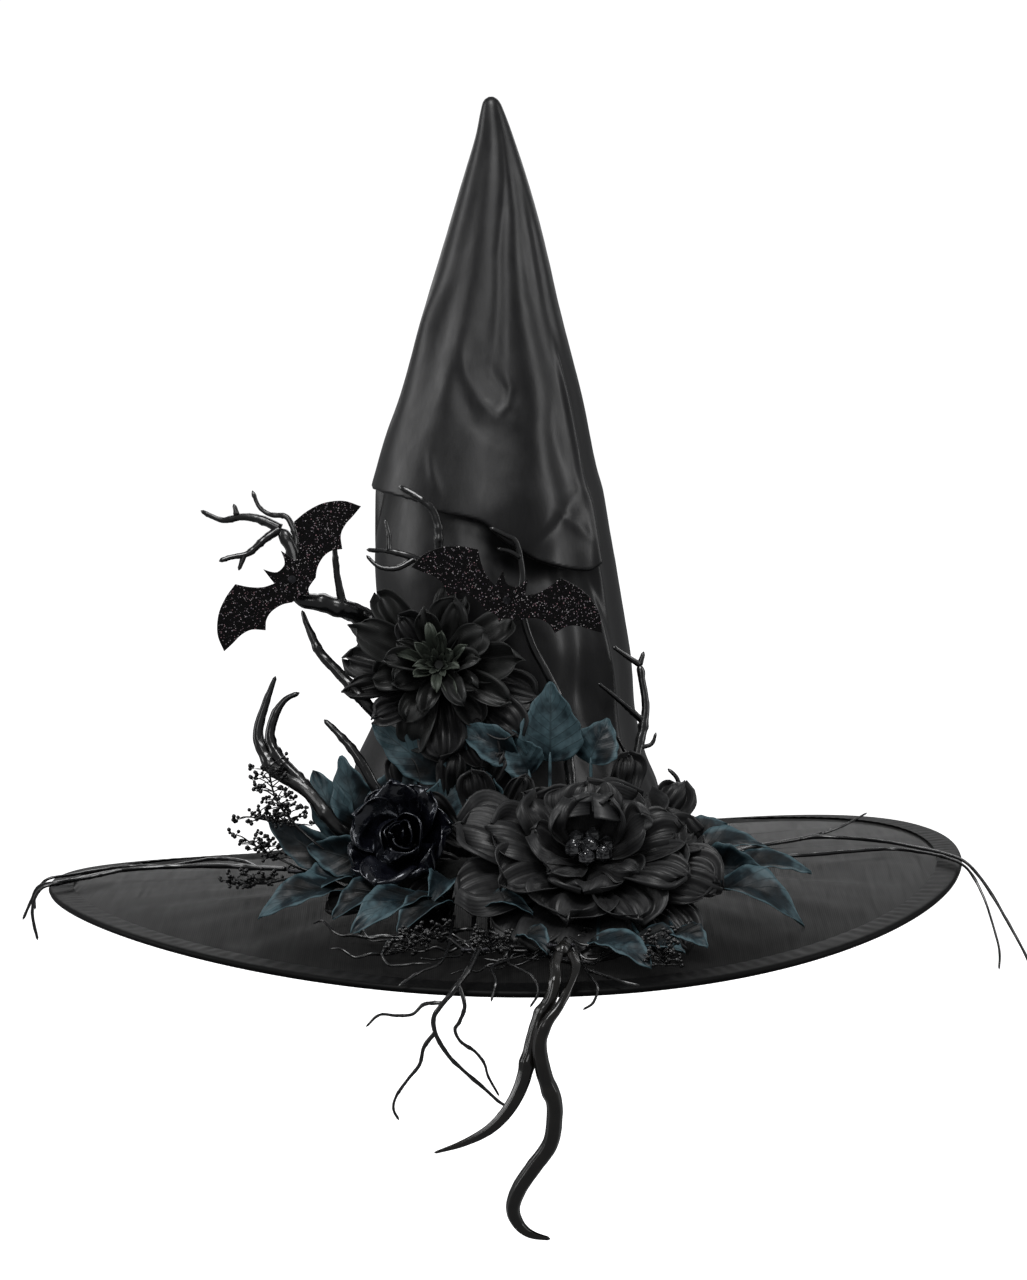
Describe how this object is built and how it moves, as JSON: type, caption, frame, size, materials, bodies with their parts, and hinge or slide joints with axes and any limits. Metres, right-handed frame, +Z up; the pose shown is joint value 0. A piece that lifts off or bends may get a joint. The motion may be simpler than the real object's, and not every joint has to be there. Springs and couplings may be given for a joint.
{
  "type": "witch hat",
  "caption": "Tall pointed satin hat with a wide sheer wired brim and a front spray of dark fabric flowers, leaves, berries, twigs, tendrils and bats.",
  "frame": {"origin": "middle of the head opening, on the plane where crown and brim are seamed together", "axes": "+Z up along the crown, -Y to the front where the flowers are, +X to the right seen from the front"},
  "size_m": [0.641, 0.6198, 0.6582],
  "materials": {
    "crown_satin": "satin weave, soft sheen",
    "binding_satin": "satin weave",
    "buckram": "stiff open weave",
    "sweatband_cloth": "plain weave",
    "floral_foam": "foam block, matt",
    "organza": "sheer plain weave",
    "steel_wire": "drawn wire",
    "calyx_plastic": "moulded",
    "peony_cloth": "printed polyester petals",
    "crystal": "faceted beads",
    "dahlia_cloth": "printed polyester petals",
    "dahlia_heart_cloth": "printed polyester petals",
    "rose_wax": "waxed petals, wet gloss",
    "twig_plastic": "moulded twig, semi-gloss",
    "vine_plastic": "moulded vine, semi-gloss",
    "berry_plastic": "glossy beads",
    "leaf_cloth": "printed polyester leaves",
    "glitter_foam": "glitter-faced foam sheet"
  },
  "bodies": {
    "hat": {"crown_shell": "crown_satin", "crown_stiffener": "buckram", "gathered_band": "crown_satin", "sweatband": "sweatband_cloth", "floral_base": "floral_foam", "brim_fabric": "organza", "brim_binding": "binding_satin", "brim_wire": "steel_wire", "peony_calyx": "calyx_plastic", "peony_outer_petals": "peony_cloth", "peony_middle_petals": "peony_cloth", "peony_inner_petals": "peony_cloth", "peony_beads": "crystal", "dahlia_calyx": "calyx_plastic", "dahlia_outer_petals": "dahlia_cloth", "dahlia_middle_petals": "dahlia_cloth", "dahlia_inner_petals": "dahlia_heart_cloth", "dahlia_centre": "dahlia_heart_cloth", "rose_calyx": "calyx_plastic", "rose_outer_petals": "rose_wax", "rose_bud": "rose_wax", "branch_upper_left": "twig_plastic", "branch_spike_left": "twig_plastic", "branch_horn_pair": "twig_plastic", "branch_small_left": "twig_plastic", "branch_crown_left": "twig_plastic", "branch_crown_right": "twig_plastic", "branch_right": "twig_plastic", "branch_right_tip": "twig_plastic", "curl_vines_front": "vine_plastic", "curl_vines_right": "vine_plastic", "tendril_wire": "steel_wire", "root_vine_wire": "steel_wire", "grass_wire": "steel_wire", "brim_vine_wire": "steel_wire", "berry_sprig_left_upper": "berry_plastic", "berry_sprig_left_lower": "berry_plastic", "berry_sprig_front": "berry_plastic", "berry_sprig_right": "berry_plastic", "leaves_upper": "leaf_cloth", "leaves_left": "leaf_cloth", "leaves_front": "leaf_cloth", "leaves_right": "leaf_cloth", "bat_left_wire": "steel_wire", "bat_right_wire": "steel_wire"},
    "bat_left_body": {"bat_left": "glitter_foam"},
    "bat_right_body": {"bat_right": "glitter_foam"},
    "tendrils": {"tendril_stem": "twig_plastic", "tendril_horn": "twig_plastic", "tendril_long": "twig_plastic"},
    "root_vine_body": {"root_vine": "vine_plastic"},
    "brim_vine_body": {"brim_vine_left": "vine_plastic"},
    "grass_body": {"grass_spray": "vine_plastic"}
  },
  "joints": [
    {"name": "bat_left_turn", "type": "hinge", "parent": "hat", "child": "bat_left_body", "pos_m": [-0.126, -0.101, 0.199], "axis": [0, -1, 0], "range_deg": [-15, 15]},
    {"name": "bat_right_turn", "type": "hinge", "parent": "hat", "child": "bat_right_body", "pos_m": [0.006, -0.116, 0.184], "axis": [0, -1, 0], "range_deg": [-15, 15]},
    {"name": "tendrils_swing", "type": "hinge", "parent": "hat", "child": "tendrils", "pos_m": [0.034, -0.258, -0.003], "axis": [1, 0, 0], "range_deg": [-15, 5]},
    {"name": "root_vine_swing", "type": "hinge", "parent": "hat", "child": "root_vine_body", "pos_m": [-0.016, -0.266, -0.0025], "axis": [1, 0, 0], "range_deg": [-6, 8]},
    {"name": "brim_vine_lift", "type": "hinge", "parent": "hat", "child": "brim_vine_body", "pos_m": [-0.138, -0.032, 0.0045], "axis": [0, 1, 0], "range_deg": [0, 12]},
    {"name": "grass_lift", "type": "hinge", "parent": "hat", "child": "grass_body", "pos_m": [0.147, -0.015, 0.0045], "axis": [0, -1, 0], "range_deg": [0, 12]}
  ]
}
